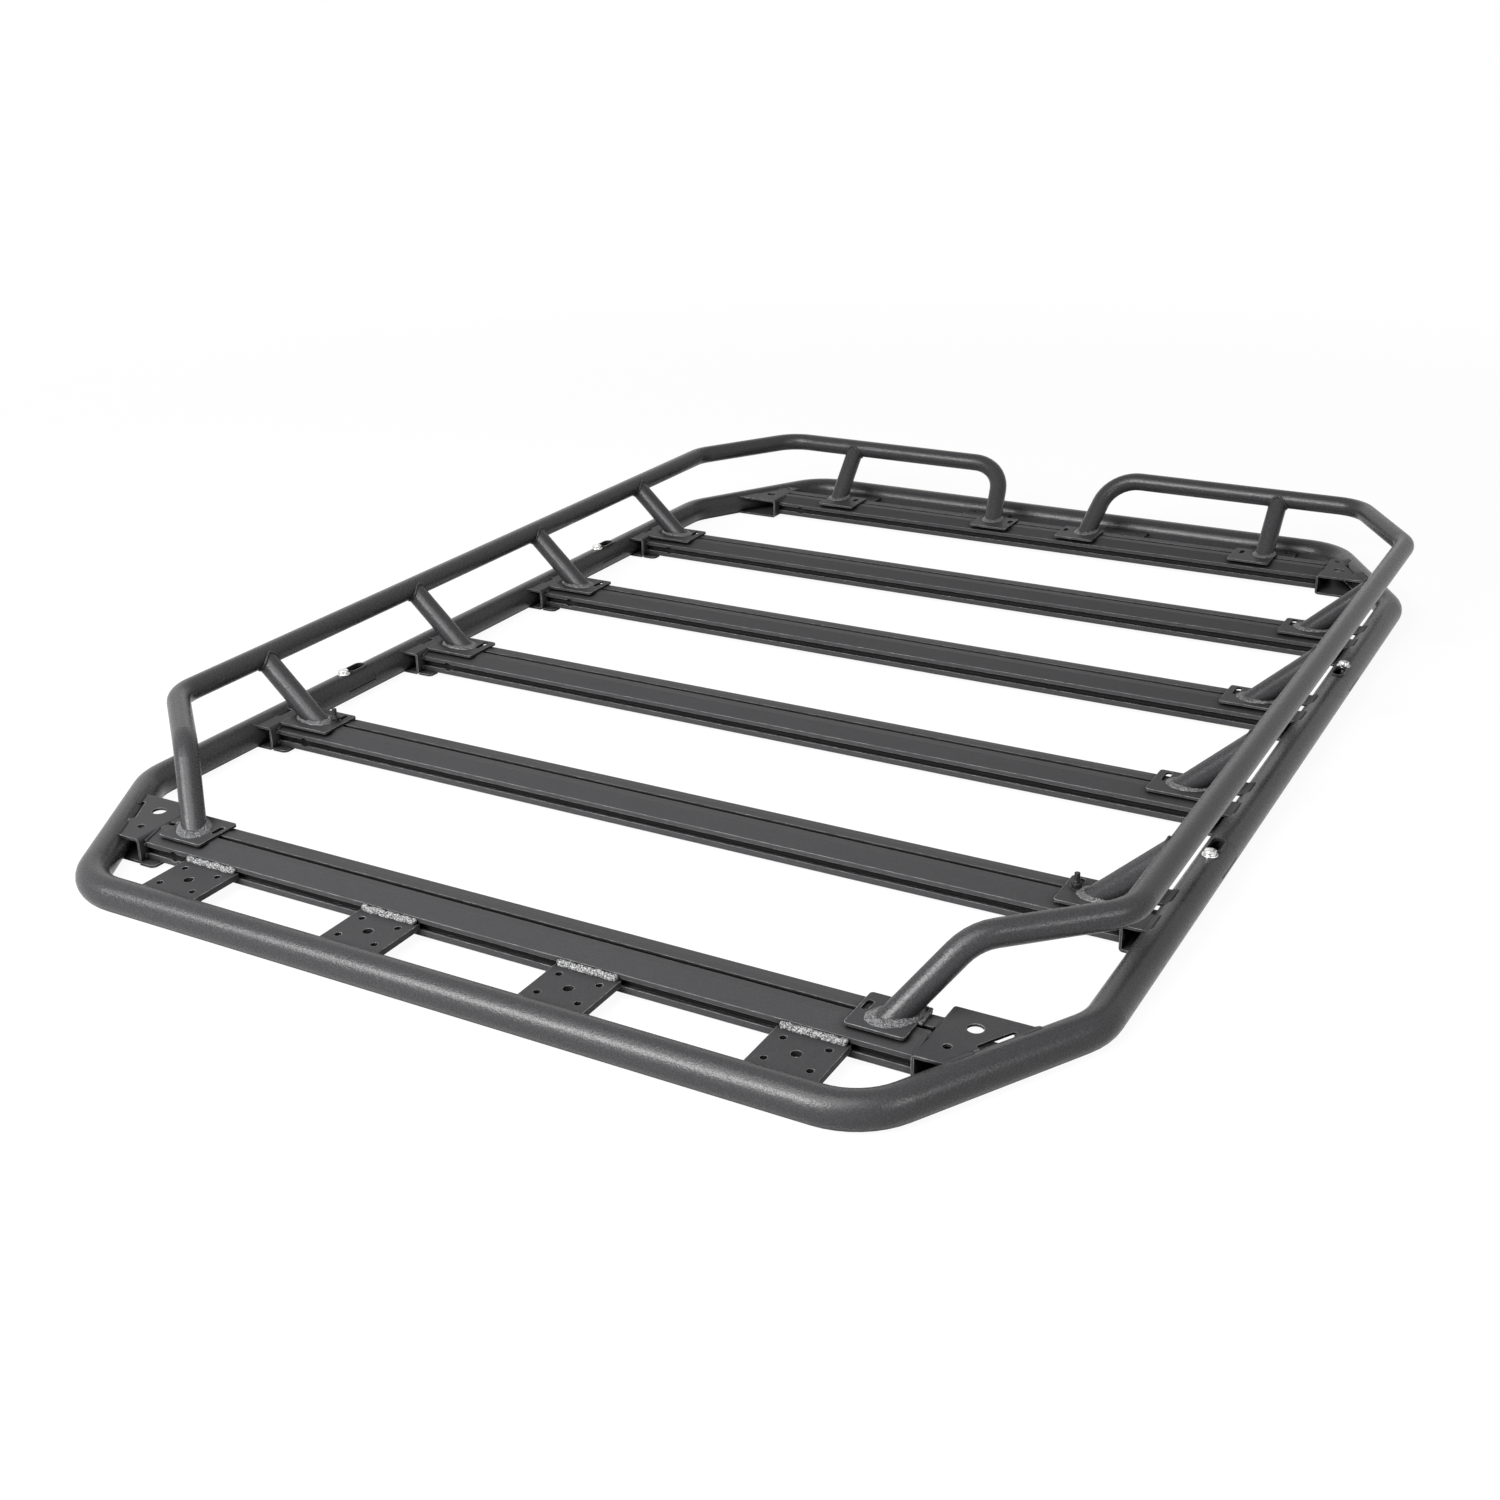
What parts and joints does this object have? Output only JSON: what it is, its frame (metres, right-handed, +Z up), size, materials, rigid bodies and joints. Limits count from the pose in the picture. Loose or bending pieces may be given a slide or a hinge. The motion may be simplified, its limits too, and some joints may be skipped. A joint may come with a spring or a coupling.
{
  "type": "roof rack",
  "caption": "Platform roof rack: tube frame with angled corners, T-slot cross slats on brackets, light plates, and side hand rails that curve round the back.",
  "frame": {"origin": "centre of the rack on the plane of the underside of its frame tube", "axes": "+Z up, -Y toward the front of the vehicle, +X along the slats, to the right as seen from the front"},
  "size_m": [1.6646, 2.4206, 0.1672],
  "materials": {
    "coated_tube": "satin textured powder coat",
    "coated_slat": "satin textured powder coat",
    "coated_plate": "satin textured powder coat"
  },
  "bodies": {
    "root": {"fifth_slat": "coated_slat", "fourth_slat": "coated_slat", "front_frame_tube": "coated_tube", "front_left_corner_bracket": "coated_plate", "front_left_inner_light_plate": "coated_plate", "front_left_outer_light_plate": "coated_plate", "front_right_corner_bracket": "coated_plate", "front_right_inner_light_plate": "coated_plate", "front_right_outer_light_plate": "coated_plate", "front_slat": "coated_slat", "left_fifth_bracket": "coated_plate", "left_fifth_post": "coated_tube", "left_foot_plates": "coated_plate", "left_fourth_bracket": "coated_plate", "left_fourth_post": "coated_tube", "left_hand_rail": "coated_tube", "left_middle_frame_tube": "coated_tube", "left_rear_post": "coated_tube", "left_second_bracket": "coated_plate", "left_second_post": "coated_tube", "left_third_bracket": "coated_plate", "left_third_post": "coated_tube", "rear_frame_tube": "coated_tube", "rear_left_corner_bracket": "coated_plate", "rear_left_inner_light_plate": "coated_plate", "rear_left_outer_light_plate": "coated_plate", "rear_right_corner_bracket": "coated_plate", "rear_right_inner_light_plate": "coated_plate", "rear_right_outer_light_plate": "coated_plate", "rear_slat": "coated_slat", "right_fifth_bracket": "coated_plate", "right_fifth_post": "coated_tube", "right_foot_plates": "coated_plate", "right_fourth_bracket": "coated_plate", "right_fourth_post": "coated_tube", "right_hand_rail": "coated_tube", "right_middle_frame_tube": "coated_tube", "right_rear_post": "coated_tube", "right_second_bracket": "coated_plate", "right_second_post": "coated_tube", "right_third_bracket": "coated_plate", "right_third_post": "coated_tube", "second_slat": "coated_slat", "third_slat": "coated_slat"}
  },
  "joints": []
}
